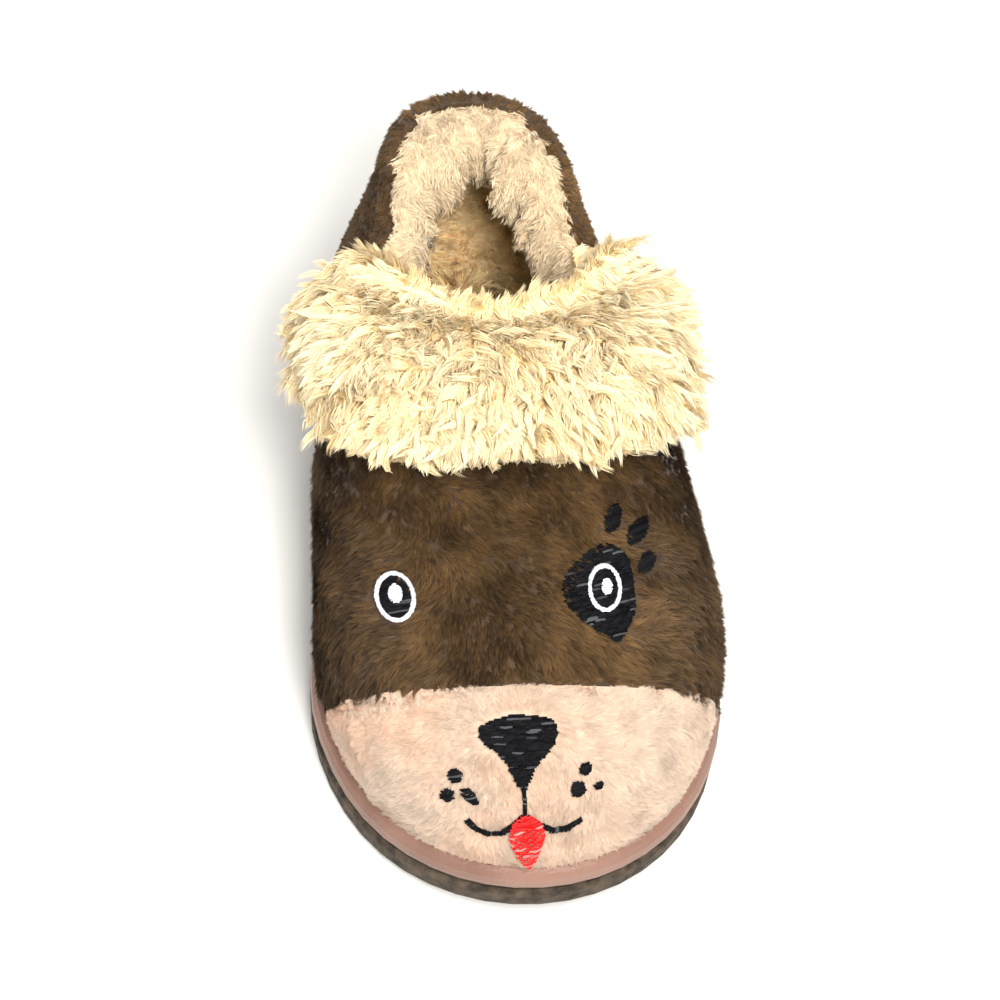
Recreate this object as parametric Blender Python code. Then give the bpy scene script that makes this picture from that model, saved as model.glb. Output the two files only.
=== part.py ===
"""A small child's plush puppy slipper for the left foot, built from its sole up.

Metres, +Z up, toe towards -Y, heel towards +Y, and the inner side of the foot towards -X. The
origin is on the floor, in the middle of the slipper.
"""

import math
import random
from collections import namedtuple

import bmesh
import bpy
from mathutils import Vector

# Driving sizes of the sole
LENGTH = 0.150               # sole, toe tip to heel tip
BALL_WIDTH = 0.076           # sole across the ball of the foot
SWING = 0.0038               # how far the heel lies inwards of the line of the forefoot
OUTSOLE_THICKNESS = 0.0050   # rubber outsole
BAND_HEIGHT = 0.0056         # covered foam platform that shows as a rounded band
BAND_ROUND = 0.0020          # how far the band's top and bottom edges turn in
EDGE_BEVEL = 0.0008          # broken edges of the outsole
TOE_SPRING = 0.0030          # lift of the sole under the toe tip
ARCH_RISE = 0.0010           # lift of the sole under the arch
HEEL_LIFT = 0.0008           # lift of the sole under the heel tip
GROOVE_WIDTH = 0.0022        # tread grooves across the underside
GROOVE_DEPTH = 0.0012
GROOVE_PITCH = 0.0070
GROOVE_MARGIN = 0.0080       # plain border left around the tread
INSOLE_THICKNESS = 0.0040    # soft footbed
INSOLE_ROUND = 0.0012

# Driving sizes of the upper
WALL = 0.0030                # plush, padding and lining cloth together
COLLAR_WALL = 0.0050         # the same where the collar's edge is rolled over its padding
UPPER_INSET = 0.0022         # band that shows outside the foot of the upper
THROAT_HEIGHT = 0.0500       # floor to collar line at the front of the opening
HEEL_HEIGHT = 0.0635         # floor to collar line at the back of the heel
COLLAR_LENGTH = 0.0570       # opening, throat to heel, outside the wall
COLLAR_WIDTH = 0.0420        # opening across, outside the wall
COLLAR_CROWN = 0.0014        # rise of the collar's rounded edge over the collar line
COLLAR_SETBACK = 0.0060      # heel tip of the sole to the back of the collar line
COLLAR_LEAD = 0.46           # how far the wall's lines run forward from the collar to their feet
PAD_START = 0.60             # share of the wall's line where the collar's padding starts
PANEL_THICKNESS = 0.0015     # plush muzzle panel let into the toe
SEAM_HEIGHT = 0.0385         # place where the muzzle seam crosses the middle of the toe
SEAM_SETBACK = 0.0235        # toe tip to that place
SEAM_LEAN = math.radians(22) # how far the seam's plane leans forward at the top
SEAM_TURN = math.radians(3)  # how far it is turned, forward on the outer side of the foot

# Driving sizes of the fur cuff
CUFF_DEPTH = 0.0092          # packed pile, under the loose locks
CUFF_OVERHANG = 0.0040       # pile that stands past the collar line, into the opening
LOCK_RISE = 0.0054           # how far a lock stands out from the packed pile
LOCK_HANG = 0.0058           # how far its tip hangs down the cuff
LOCK_STRAY = 0.0011          # how far its tip strays at random
CUFF_END_TURN = 0.56         # share of the way round to the heel at which the cuff ends
CUFF_EDGE = 0.30             # fullness of the packed pile at its lower edge
LOCK_WAIST = 0.66            # width of a lock half way along, as a share of its foot
LOCK_TIP = 0.18              # width of a lock at its tip, as a share of its foot

GAP = 0.0003                 # clearance between neighbouring pieces

# Fineness of the meshes
AROUND = 64
UP_THE_WALL = 12
BAND_STEPS = 6
CUFF_COLUMNS = 27
CUFF_ROWS = 6

# Half widths of the sole. Station is a share of the length from the toe. Fullness is a share
# of half the ball width, over an ellipse of the sole's length.
Outline = namedtuple("Outline", "place station fullness")
SOLE_OUTLINE = [
    Outline("toe tip", 0.000, 1.34),
    Outline("toe", 0.070, 1.295),
    Outline("toe joint", 0.150, 1.235),
    Outline("ball", 0.267, 1.14),
    Outline("behind the ball", 0.380, 1.005),
    Outline("waist", 0.520, 0.930),
    Outline("front of heel", 0.680, 0.910),
    Outline("middle of heel", 0.820, 1.040),
    Outline("back of heel", 0.930, 1.220),
    Outline("heel tip", 1.000, 1.300),
]

# Half widths of the collar line, in the same way, over the collar's length and width
COLLAR_OUTLINE = [
    Outline("throat", 0.00, 1.15),
    Outline("front corner", 0.15, 1.12),
    Outline("side", 0.32, 1.06),
    Outline("widest", 0.46, 1.00),
    Outline("heel side", 0.62, 0.93),
    Outline("heel corner", 0.82, 1.00),
    Outline("heel", 1.00, 1.12),
]

# Height of the collar line. Height is a share of the way from the throat up to the heel.
Topline = namedtuple("Topline", "place station height")
TOPLINE = [
    Topline("throat", 0.00, 0.00),
    Topline("front corner", 0.18, -0.04),
    Topline("side", 0.36, 0.06),
    Topline("start of the rise", 0.50, 0.30),
    Topline("heel side", 0.64, 0.66),
    Topline("heel corner", 0.82, 0.93),
    Topline("heel", 1.00, 1.00),
]

# The wall's line from its foot to the collar, at places round the slipper. Turn is a share of
# the way round from toe to heel. Rise and drop are shares of the wall's height: how high the
# foot of the line stands up before it leans in, and how far the line has come down where it
# leaves the collar. Bulge is a share of half the ball width. Reach is a share of the way out
# from the collar to the foot.
Meridian = namedtuple("Meridian", "place turn rise bulge reach drop")
MERIDIANS = [
    Meridian("toe", 0.00, 0.60, 0.050, 0.64, 0.09),
    Meridian("toe corner", 0.17, 0.60, 0.060, 0.64, 0.09),
    Meridian("ball", 0.33, 0.60, 0.090, 0.62, 0.09),
    Meridian("waist", 0.50, 0.60, 0.150, 0.58, 0.16),
    Meridian("heel side", 0.67, 0.50, 0.130, 0.40, 0.32),
    Meridian("heel corner", 0.84, 0.46, 0.080, 0.32, 0.38),
    Meridian("heel", 1.00, 0.48, 0.040, 0.30, 0.38),
]

# The fur cuff, from the middle of the throat to its end on each side. Turn is a share of the
# way round as above, foot is the share of the wall's line where the packed pile starts, and
# depth is a share of the cuff's depth.
Cuff = namedtuple("Cuff", "place share foot depth")
CUFF = [
    Cuff("middle of the throat", 0.00, 0.840, 1.00),
    Cuff("throat corner", 0.40, 0.780, 1.00),
    Cuff("shoulder", 0.70, 0.690, 1.02),
    Cuff("end", 1.00, 0.580, 1.00),
]

# The forefoot is straight up to SWING_START, a share of the length from the toe. The middle
# line of the shoe crosses the origin's line at SWING_MIDDLE.
SWING_START = 0.20
SWING_MIDDLE = 0.37
SWING_CURVE = 1.6

# Where the sole leaves the floor, as shares of the length from the toe
TOE_BREAK = 0.20
ARCH_START = 0.46
ARCH_END = 0.66
HEEL_BREAK = 0.93

# Where the tread lies, as shares of the length from the toe
TREAD_ZONES = [("forefoot", 0.155, 0.440), ("heel", 0.690, 0.900)]

BAND_FOOT = OUTSOLE_THICKNESS + GAP
SEAT = BAND_FOOT + BAND_HEIGHT + GAP   # height above the floor line where upper and insole stand
TINY = 1e-4

COLOURS = {
    "outsole": ((0.045, 0.038, 0.030), 0.85),
    "platform": ((0.205, 0.122, 0.098), 0.45),
    "insole": ((0.85, 0.72, 0.50), 0.95),
    "upper": ((0.070, 0.036, 0.016), 0.90),
    "muzzle_panel": ((0.80, 0.62, 0.45), 0.90),
    "fur_cuff": ((0.90, 0.80, 0.58), 0.95),
}


def read_table(table, column, along, at):
    """Smooth value of a table's column where the column `along` is `at`."""
    spots = [getattr(row, along) for row in table]
    values = [getattr(row, column) for row in table]
    last = len(table) - 1
    at = min(max(at, spots[0]), spots[-1])
    step = next(i for i in range(last) if at <= spots[i + 1] or i == last - 1)

    def slope(i):
        before, after = max(i - 1, 0), min(i + 1, last)
        return (values[after] - values[before]) / (spots[after] - spots[before])

    span = spots[step + 1] - spots[step]
    t = (at - spots[step]) / span
    return (
        values[step] * (2 * t**3 - 3 * t**2 + 1)
        + slope(step) * span * (t**3 - 2 * t**2 + t)
        + values[step + 1] * (3 * t**2 - 2 * t**3)
        + slope(step + 1) * span * (t**3 - t**2)
    )


def middle_line(y):
    """Place of the shoe's middle line across the shoe."""
    bends = []
    for share in (SWING_MIDDLE, y / LENGTH + 0.5):
        behind = max(0.0, share - SWING_START) / (1 - SWING_START)
        bends.append(behind**SWING_CURVE)
    return SWING * (bends[0] - bends[1])


def outline_point(turn, table, length, width, toe_y):
    """Point of a flat outline. Turn runs from 0 at the toe, by +X, to 1 at the heel, to 2."""
    angle = math.pi * turn
    share = (1 - math.cos(angle)) / 2
    fullness = read_table(table, "fullness", "station", share)
    y = toe_y + length * share
    return Vector((middle_line(y) + width / 2 * fullness * math.sin(angle), y, 0))


def outline_normal(turn, *outline):
    """Flat unit vector that points out of an outline."""
    along = outline_point(turn + TINY, *outline) - outline_point(turn - TINY, *outline)
    return Vector((along.y, -along.x, 0)).normalized()


SOLE = (SOLE_OUTLINE, LENGTH, BALL_WIDTH, -LENGTH / 2)
COLLAR = (COLLAR_OUTLINE, COLLAR_LENGTH, COLLAR_WIDTH, LENGTH / 2 - COLLAR_SETBACK - COLLAR_LENGTH)


def floor_line(y):
    """Height of the outsole's underside: on the floor but for toe spring, arch and heel."""
    share = y / LENGTH + 0.5
    toe = max(0.0, 1 - share / TOE_BREAK)
    heel = max(0.0, (share - HEEL_BREAK) / (1 - HEEL_BREAK))
    arch = min(max((share - ARCH_START) / (ARCH_END - ARCH_START), 0.0), 1.0)
    return TOE_SPRING * toe**2 + HEEL_LIFT * heel**2 + ARCH_RISE * math.sin(math.pi * arch) ** 2


def sole_ring(inset, height):
    """Closed ring of points round the sole, at a height above the floor line."""
    ring = []
    for i in range(AROUND):
        turn = 2 * i / AROUND
        point = outline_point(turn, *SOLE) - inset * outline_normal(turn, *SOLE)
        ring.append(Vector((point.x, point.y, floor_line(point.y) + height)))
    return ring


def wall_foot(turn):
    """Foot of the upper's wall, outside."""
    point = outline_point(turn, *SOLE) - UPPER_INSET * outline_normal(turn, *SOLE)
    return Vector((point.x, point.y, floor_line(point.y) + SEAT))


def collar_point(turn):
    """Top of the upper's wall, outside, on the collar line."""
    turn -= COLLAR_LEAD * math.sin(math.pi * turn) / math.pi
    point = outline_point(turn, *COLLAR)
    share = (1 - math.cos(math.pi * turn)) / 2
    height = read_table(TOPLINE, "height", "station", share)
    return Vector((point.x, point.y, THROAT_HEIGHT + (HEEL_HEIGHT - THROAT_HEIGHT) * height))


def wall_line(turn, climb):
    """Point of the upper's outside. Climb is 0 at the foot of the wall and 1 at the collar."""
    foot, collar = wall_foot(turn), collar_point(turn)
    side = 1 - abs(turn % 2 - 1)
    rise, bulge, reach, drop = (
        read_table(MERIDIANS, column, "turn", side) for column in ("rise", "bulge", "reach", "drop")
    )
    tall = collar.z - foot.z
    up = foot + bulge * BALL_WIDTH / 2 * outline_normal(turn, *SOLE) + Vector((0, 0, rise * tall))
    over = collar + reach * (foot - collar)
    over.z = collar.z - drop * tall
    rest = 1 - climb
    return (
        foot * rest**3 + 3 * up * climb * rest**2 + 3 * over * climb**2 * rest + collar * climb**3
    )


def wall_normal(turn, climb):
    """Unit vector that points out of the upper."""
    low, high = max(climb - TINY, 0.0), min(climb + TINY, 1.0)
    round_it = wall_line(turn + TINY, climb) - wall_line(turn - TINY, climb)
    up_it = wall_line(turn, high) - wall_line(turn, low)
    return round_it.cross(up_it).normalized()


def past_collar(turn):
    """Unit vector along the wall's line where it reaches the collar."""
    return (wall_line(turn, 1) - wall_line(turn, 1 - TINY)).normalized()


def wall_point(turn, climb, out):
    """Point at a distance out from the upper's outside. The foot of the wall stays flat."""
    point = wall_line(turn, climb)
    normal = wall_normal(turn, climb)
    if climb == 0:
        normal = outline_normal(turn, *SOLE)
    return point + out * normal


def wall_depth(climb):
    """Thickness of the wall, which grows to the rolled edge of the collar."""
    full = max(0.0, climb - PAD_START) / (1 - PAD_START)
    return WALL + (COLLAR_WALL - WALL) * math.sin(full * math.pi / 2) ** 2


def wall_ring(climb, out, lower=0.0):
    """Closed ring of points round the upper."""
    ring = [wall_point(2 * i / AROUND, climb, out) for i in range(AROUND)]
    return [point - Vector((0, 0, lower)) for point in ring]


def make_material(name):
    """Principled material in the piece's own colour."""
    colour, roughness = COLOURS[name]
    material = bpy.data.materials.new(name)
    material.use_nodes = True
    shader = material.node_tree.nodes["Principled BSDF"]
    shader.inputs["Base Color"].default_value = (*colour, 1)
    shader.inputs["Roughness"].default_value = roughness
    shader.inputs["Metallic"].default_value = 0
    return material


def place_mesh(name, mesh, collection):
    """Turn a bmesh into an object of the collection."""
    data = bpy.data.meshes.new(name)
    mesh.to_mesh(data)
    mesh.free()
    piece = bpy.data.objects.new(name, data)
    collection.objects.link(piece)
    if name in COLOURS:
        data.materials.append(make_material(name))
        data.shade_smooth()
        data.set_sharp_from_angle(angle=math.radians(40))
    return piece


def loft(rings, closed):
    """Bmesh of quads between rings of points; a closed loft joins its last ring to its first."""
    mesh = bmesh.new()
    rows = [[mesh.verts.new(point) for point in ring] for ring in rings]
    count = len(rings[0])
    for k in range(len(rows) if closed else len(rows) - 1):
        lower, upper = rows[k], rows[(k + 1) % len(rows)]
        for i in range(count):
            j = (i + 1) % count
            mesh.faces.new((lower[i], lower[j], upper[j], upper[i]))
    return mesh, rows


def fill_across(mesh, ring, facing_up):
    """Close a sole-shaped ring with strips from its +X side to its -X side."""
    count = len(ring)
    for i in range(count // 2):
        right = [ring[i], ring[i + 1]]
        left = [ring[(count - i - 1) % count], ring[(count - i) % count]]
        corners = list(dict.fromkeys(right + left))
        mesh.faces.new(corners if facing_up else corners[::-1])


def slab(name, rings, collection):
    """Sole-shaped solid from rings that run from its underside to its top."""
    mesh, rows = loft(rings, closed=False)
    fill_across(mesh, rows[0], facing_up=False)
    fill_across(mesh, rows[-1], facing_up=True)
    return place_mesh(name, mesh, collection)


def cut(piece, cutter):
    """Take the cutter's shape out of a piece."""
    boolean = piece.modifiers.new("cut by " + cutter.name, "BOOLEAN")
    boolean.operation = "DIFFERENCE"
    boolean.solver = "EXACT"
    boolean.object = cutter


def make_tread_cutter(cutters):
    """Bars that cut the grooves across the underside."""
    mesh = bmesh.new()
    for _, start, end in TREAD_ZONES:
        room = (end - start) * LENGTH
        count = max(1, int(room / GROOVE_PITCH))
        for i in range(count):
            share = start + (i + 0.5) * (end - start) / count
            turn = math.acos(1 - 2 * share) / math.pi
            middle = outline_point(turn, *SOLE)
            across = middle_line(middle.y)
            reach = middle.x - across - GROOVE_MARGIN
            size = Vector((2 * reach, GROOVE_WIDTH, 2 * GROOVE_DEPTH))
            bar = bmesh.ops.create_cube(mesh, size=1.0)["verts"]
            bmesh.ops.scale(mesh, verts=bar, vec=size)
            bmesh.ops.translate(mesh, verts=bar, vec=(across, middle.y, floor_line(middle.y)))
    cutter = place_mesh("tread_cutter", mesh, cutters)
    cutter.hide_render = True
    cutter.display_type = "WIRE"
    return cutter


def make_outsole(collection, cutters):
    """Rubber outsole with broken edges and grooves across its underside."""
    rings = [
        sole_ring(EDGE_BEVEL, 0),
        sole_ring(0, EDGE_BEVEL),
        sole_ring(0, OUTSOLE_THICKNESS - EDGE_BEVEL),
        sole_ring(EDGE_BEVEL, OUTSOLE_THICKNESS),
    ]
    cut(slab("outsole", rings, collection), make_tread_cutter(cutters))


def make_platform(collection):
    """Foam platform in its cover, whose side is a rounded band."""
    rings = []
    for k in range(BAND_STEPS + 1):
        angle = math.pi * (k / BAND_STEPS - 0.5)
        inset = BAND_ROUND * (1 - math.cos(angle))
        rings.append(sole_ring(inset, BAND_FOOT + BAND_HEIGHT * (1 + math.sin(angle)) / 2))
    slab("platform", rings, collection)


def make_insole(collection):
    """Soft footbed that fills the floor of the upper."""
    edge = UPPER_INSET + WALL + GAP
    rings = [
        sole_ring(edge, SEAT),
        sole_ring(edge, SEAT + INSOLE_THICKNESS - INSOLE_ROUND),
        sole_ring(edge + INSOLE_ROUND, SEAT + INSOLE_THICKNESS),
    ]
    slab("insole", rings, collection)


def shell(outside, inside, lower=0.0):
    """Closed wall between two distances from the upper's outside, as deep as it runs high."""
    climbs = [k / UP_THE_WALL for k in range(UP_THE_WALL + 1)]
    rings = [wall_ring(climb, outside) for climb in climbs]
    rings += [wall_ring(climb, inside) for climb in reversed(climbs)]
    if lower:
        rings = [wall_ring(0, outside, lower)] + rings + [wall_ring(0, inside, lower)]
    return loft(rings, closed=True)[0]


def padded_wall():
    """Closed wall of the upper, thicker at the collar, whose edge is rounded."""
    climbs = [k / UP_THE_WALL for k in range(UP_THE_WALL + 1)]
    rings = [wall_ring(climb, 0) for climb in climbs]
    for across in (0.25, 0.75):
        ring = wall_ring(1, -across * COLLAR_WALL)
        turns = [2 * i / AROUND for i in range(AROUND)]
        rings.append([point + COLLAR_CROWN * past_collar(turn) for point, turn in zip(ring, turns)])
    rings += [wall_ring(climb, -wall_depth(climb)) for climb in reversed(climbs)]
    return loft(rings, closed=True)[0]


def keep_front(mesh, setback):
    """Cut a shell at the muzzle seam, keep its front and close the cut."""
    level = math.cos(SEAM_LEAN)
    across = Vector(
        (level * math.sin(SEAM_TURN), level * math.cos(SEAM_TURN), math.sin(SEAM_LEAN))
    )
    place = Vector((middle_line(-LENGTH / 2), SEAM_SETBACK - LENGTH / 2, SEAM_HEIGHT))
    place += setback * across
    geometry = mesh.verts[:] + mesh.edges[:] + mesh.faces[:]
    result = bmesh.ops.bisect_plane(
        mesh, geom=geometry, plane_co=place, plane_no=across, clear_outer=True, dist=1e-7
    )
    rim = [item for item in result["geom_cut"] if isinstance(item, bmesh.types.BMEdge)]
    bmesh.ops.contextual_create(mesh, geom=rim)
    bmesh.ops.recalc_face_normals(mesh, faces=mesh.faces[:])
    return mesh


def make_upper(collection, cutters):
    """Hollow plush upper, open at the collar and underneath, with a bed for the muzzle."""
    upper = place_mesh("upper", padded_wall(), collection)
    bed = shell(WALL, -PANEL_THICKNESS - GAP, lower=WALL)
    cutter = place_mesh("muzzle_cutter", keep_front(bed, GAP), cutters)
    cutter.hide_render = True
    cutter.display_type = "WIRE"
    cut(upper, cutter)


def make_muzzle_panel(collection):
    """Pale plush panel over the toe, level with the upper round it."""
    mesh = keep_front(shell(0, -PANEL_THICKNESS), 0)
    place_mesh("muzzle_panel", mesh, collection)


def cuff_section(share, side):
    """Closed section of the packed pile: up along the upper, over the collar and down."""
    turn = side * share * CUFF_END_TURN
    foot = read_table(CUFF, "foot", "share", share)
    depth = read_table(CUFF, "depth", "share", share) * CUFF_DEPTH
    climbs = [foot + (1 - foot) * k / CUFF_ROWS for k in range(CUFF_ROWS + 1)]
    section = [wall_point(turn, climb, GAP) for climb in climbs]
    section.append(wall_point(turn, 1, GAP + depth / 2) + CUFF_OVERHANG * past_collar(turn))
    for k in range(CUFF_ROWS, -1, -1):
        plump = math.sin(math.pi / 2 * min(1.0, CUFF_EDGE + (1 - CUFF_EDGE) * 2 * k / CUFF_ROWS))
        section.append(wall_point(turn, climbs[k], GAP + depth * plump))
    return section


def grow_lock(mesh, face, down, chance):
    """Draw one face of the cuff out into a tapered lock."""
    rise = face.normal * LOCK_RISE * chance.uniform(0.8, 1.2)
    hang = down * LOCK_HANG * chance.uniform(0.8, 1.2)
    stray = Vector((chance.uniform(-1, 1), chance.uniform(-1, 1), chance.uniform(-1, 1)))
    bends = ((0.6, 0.35, LOCK_WAIST), (0.4, 0.65, LOCK_TIP / LOCK_WAIST))
    for risen, hung, width in bends:
        face = bmesh.ops.extrude_discrete_faces(mesh, faces=[face])["faces"][0]
        middle = face.calc_center_median()
        shift = rise * risen + (hang + stray * LOCK_STRAY) * hung
        for vert in face.verts:
            vert.co = middle + (vert.co - middle) * width + shift


def make_fur_cuff(collection):
    """Deep fur turned down over the throat, with its locks grown from the packed pile."""
    shares = [2 * i / (CUFF_COLUMNS - 1) - 1 for i in range(CUFF_COLUMNS)]
    columns = [cuff_section(abs(share), math.copysign(1, share)) for share in shares]
    mesh = bmesh.new()
    rows = [[mesh.verts.new(point) for point in column] for column in columns]
    count = len(rows[0])
    furry = []
    for i in range(CUFF_COLUMNS - 1):
        for k in range(count):
            j = (k + 1) % count
            face = mesh.faces.new((rows[i][k], rows[i][j], rows[i + 1][j], rows[i + 1][k]))
            if CUFF_ROWS <= k < count - 1:
                furry.append((face, i, k))
    mesh.faces.new(rows[0][::-1])
    mesh.faces.new(rows[-1])
    mesh.normal_update()
    for face, i, k in furry:
        pair = min(i, CUFF_COLUMNS - 2 - i)
        chance = random.Random(1000 * pair + k)
        run = columns[i][k + 1] - columns[i][k]
        grow_lock(mesh, face, run.normalized(), chance)
    place_mesh("fur_cuff", mesh, collection)


def main():
    for thing in list(bpy.data.objects):
        bpy.data.objects.remove(thing, do_unlink=True)
    slipper = bpy.data.collections.new("puppy_slipper")
    cutters = bpy.data.collections.new("cutters")
    bpy.context.scene.collection.children.link(slipper)
    bpy.context.scene.collection.children.link(cutters)
    make_outsole(slipper, cutters)
    make_platform(slipper)
    make_insole(slipper)
    make_upper(slipper, cutters)
    make_muzzle_panel(slipper)
    make_fur_cuff(slipper)


main()
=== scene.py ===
# %% [markdown]
# # A child's plush puppy slipper
# The real slipper is brown plush sewn over a padded last, with a pale muzzle on the toe, an
# embroidered face, deep fur over the throat and fleece inside. The solids of the sole, the
# upper and the cuff are loaded first. They keep their shapes, and this lesson dresses them.

# %% Load the solids
import math

import bpy
import numpy as np
from mathutils import Matrix, Vector
from mathutils.bvhtree import BVHTree


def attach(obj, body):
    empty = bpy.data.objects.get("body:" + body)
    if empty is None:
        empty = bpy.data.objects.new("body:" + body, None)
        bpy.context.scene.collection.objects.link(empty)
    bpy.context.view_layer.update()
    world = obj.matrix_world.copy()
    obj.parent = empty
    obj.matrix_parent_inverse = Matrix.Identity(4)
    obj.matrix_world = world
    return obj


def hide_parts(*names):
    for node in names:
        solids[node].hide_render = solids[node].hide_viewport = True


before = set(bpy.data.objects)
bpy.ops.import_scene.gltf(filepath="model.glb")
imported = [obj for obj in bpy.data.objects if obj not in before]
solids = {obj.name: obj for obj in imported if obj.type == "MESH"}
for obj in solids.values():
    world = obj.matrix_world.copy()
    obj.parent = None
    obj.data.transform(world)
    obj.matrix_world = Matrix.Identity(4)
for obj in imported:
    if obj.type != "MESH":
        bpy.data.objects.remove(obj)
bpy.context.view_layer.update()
MM = 0.001
print("solids:", ", ".join(sorted(solids)))

# %% [markdown]
# ## Camera
# The photo looks down on the toe from in front, from about 0.4 m. The lens is long enough to
# keep the slipper's heel from shrinking too much. The camera stands where the photographer
# stood, turned a little to the right so that the one slipper is in the middle.

# %% Camera
EYE = Vector((-43.7, -234.5, 333.0)) * MM
LOOK = Vector((0.00868, 0.60695, -0.79469))
ACROSS = Vector((0.99905, -0.03914, -0.01898))
PAN = math.radians(5.85)
LENS = 73.8

look = (LOOK * math.cos(PAN) + ACROSS * math.sin(PAN)).normalized()
across = (ACROSS * math.cos(PAN) - LOOK * math.sin(PAN)).normalized()
above = across.cross(look)
bpy.ops.object.camera_add(location=EYE)
camera = bpy.context.object
camera.data.lens = LENS
camera.data.sensor_width = 36
camera.data.clip_start = 0.01
turn = Matrix((across, above, -look)).transposed().to_4x4()
camera.matrix_world = Matrix.Translation(EYE) @ turn
bpy.context.scene.camera = camera
print("camera to heel:", round((EYE - Vector((0, 0.07, 0.06))).length, 3), "m")

# %% [markdown]
# ## Floor and light
# Plush is all small shadows, so it is lit like cloth in a shop window: one broad warm light
# high in front, a smaller one by the camera that also reaches the fleece inside, a weak one
# on the left so that the dark side still shows its hairs, one behind, and a pale room round
# it. The standard view keeps the colours as they are mixed.

# %% Floor and light
bpy.ops.mesh.primitive_plane_add(size=6)
floor = bpy.context.object
floor.name = "floor"
floor_paint = bpy.data.materials.new("pale_floor")
floor_paint.use_nodes = True
paint = floor_paint.node_tree.nodes["Principled BSDF"].inputs
paint["Base Color"].default_value = (0.86, 0.86, 0.85, 1)
paint["Roughness"].default_value = 0.7
floor.data.materials.append(floor_paint)


def add_light(name, place, aim, size, power, colour):
    """Square soft light that points at a place on the slipper."""
    bpy.ops.object.light_add(type="AREA", location=place)
    lamp = bpy.context.object
    lamp.name = name
    lamp.data.size = size
    lamp.data.energy = power
    lamp.data.color = colour
    lamp.rotation_euler = (Vector(aim) - Vector(place)).to_track_quat("-Z", "Y").to_euler()
    return lamp


add_light("key", (0.09, -0.20, 0.58), (0, 0.01, 0.02), 0.25, 2.1, (1.0, 0.96, 0.90))
add_light("front", (0.03, -0.34, 0.44), (0, 0.04, 0.03), 0.12, 2.3, (1.0, 0.97, 0.92))
add_light("shade_side", (-0.55, -0.25, 0.45), (0, 0, 0.03), 0.5, 1.3, (0.93, 0.96, 1.0))
add_light("behind", (0.05, 0.62, 0.5), (0, 0, 0.04), 0.5, 1.8, (1.0, 0.98, 0.95))
room = bpy.data.worlds.new("pale_room")
room.use_nodes = True
room.node_tree.nodes["Background"].inputs["Color"].default_value = (1.0, 0.965, 0.91, 1)
room.node_tree.nodes["Background"].inputs["Strength"].default_value = 0.42
bpy.context.scene.world = room
bpy.context.scene.view_settings.view_transform = "Standard"

# %% [markdown]
# ## Small tools for materials
# Every finish here is mixed from a few procedural nodes. These helpers add a node, set or wire
# its sockets, work out a sum and mix two colours, so that each finish reads as a short recipe.


# %% Node helpers
def start_material(name):
    """New material, and the sockets of its shader."""
    material = bpy.data.materials.new(name)
    material.use_nodes = True
    return material, material.node_tree.nodes["Principled BSDF"].inputs


def give(material, socket, value):
    """Set a socket to a value, or wire another node's output to it."""
    if isinstance(value, bpy.types.NodeSocket):
        material.node_tree.links.new(value, socket)
    else:
        socket.default_value = value


def add_node(material, kind, **values):
    """Node of a kind, with some of its inputs set or wired."""
    node = material.node_tree.nodes.new("ShaderNode" + kind)
    for key, value in values.items():
        give(material, node.inputs[key.replace("_", " ")], value)
    return node


def calculate(material, operation, first, second=0.0, kind="Math", result="Value"):
    """Result of one sum; each value may be a number or a socket."""
    node = add_node(material, kind)
    node.operation = operation
    give(material, node.inputs[0], first)
    give(material, node.inputs[1], second)
    return node.outputs[result]


def mix_colours(material, share, first, second):
    """Colour between two others; each may be a colour or a socket."""
    node = add_node(material, "Mix")
    node.data_type = "RGBA"
    for number, value in ((0, share), (6, first), (7, second)):
        give(material, node.inputs[number], value)
    return node.outputs[2]


def spots(material, scale, detail=3.0, stretch=(1, 1, 1), low=0.35, high=0.65):
    """Soft noise on the object's own coordinates, pulled to run from 0 to 1."""
    place = add_node(material, "TexCoord").outputs["Object"]
    place = add_node(material, "Mapping", Vector=place, Scale=stretch).outputs["Vector"]
    noise = add_node(material, "TexNoise", Vector=place, Scale=scale, Detail=detail)
    ranged = add_node(material, "MapRange", Value=noise.outputs["Fac"], From_Min=low, From_Max=high)
    return ranged.outputs["Result"]


def raise_bump(material, inputs, height, distance, strength=0.6, under=None):
    """Bump on a material, on top of another bump if there is one."""
    bump = add_node(material, "Bump", Height=height, Distance=distance, Strength=strength)
    if under is not None:
        give(material, bump.inputs["Normal"], under)
    give(material, inputs["Normal"], bump.outputs["Normal"])
    return bump.outputs["Normal"]


print("helpers ready: nodes, sums, colours, spots and bumps")

# %% [markdown]
# ## Pile
# Plush, fleece and long fur differ only in how long their hairs are, how they lean and how
# they gather into tufts. Each hair here is a thin tapered strip. Its colour is darker at the
# root, and each tuft has its own shade, both read from an attribute that is laid on the mesh.


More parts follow.
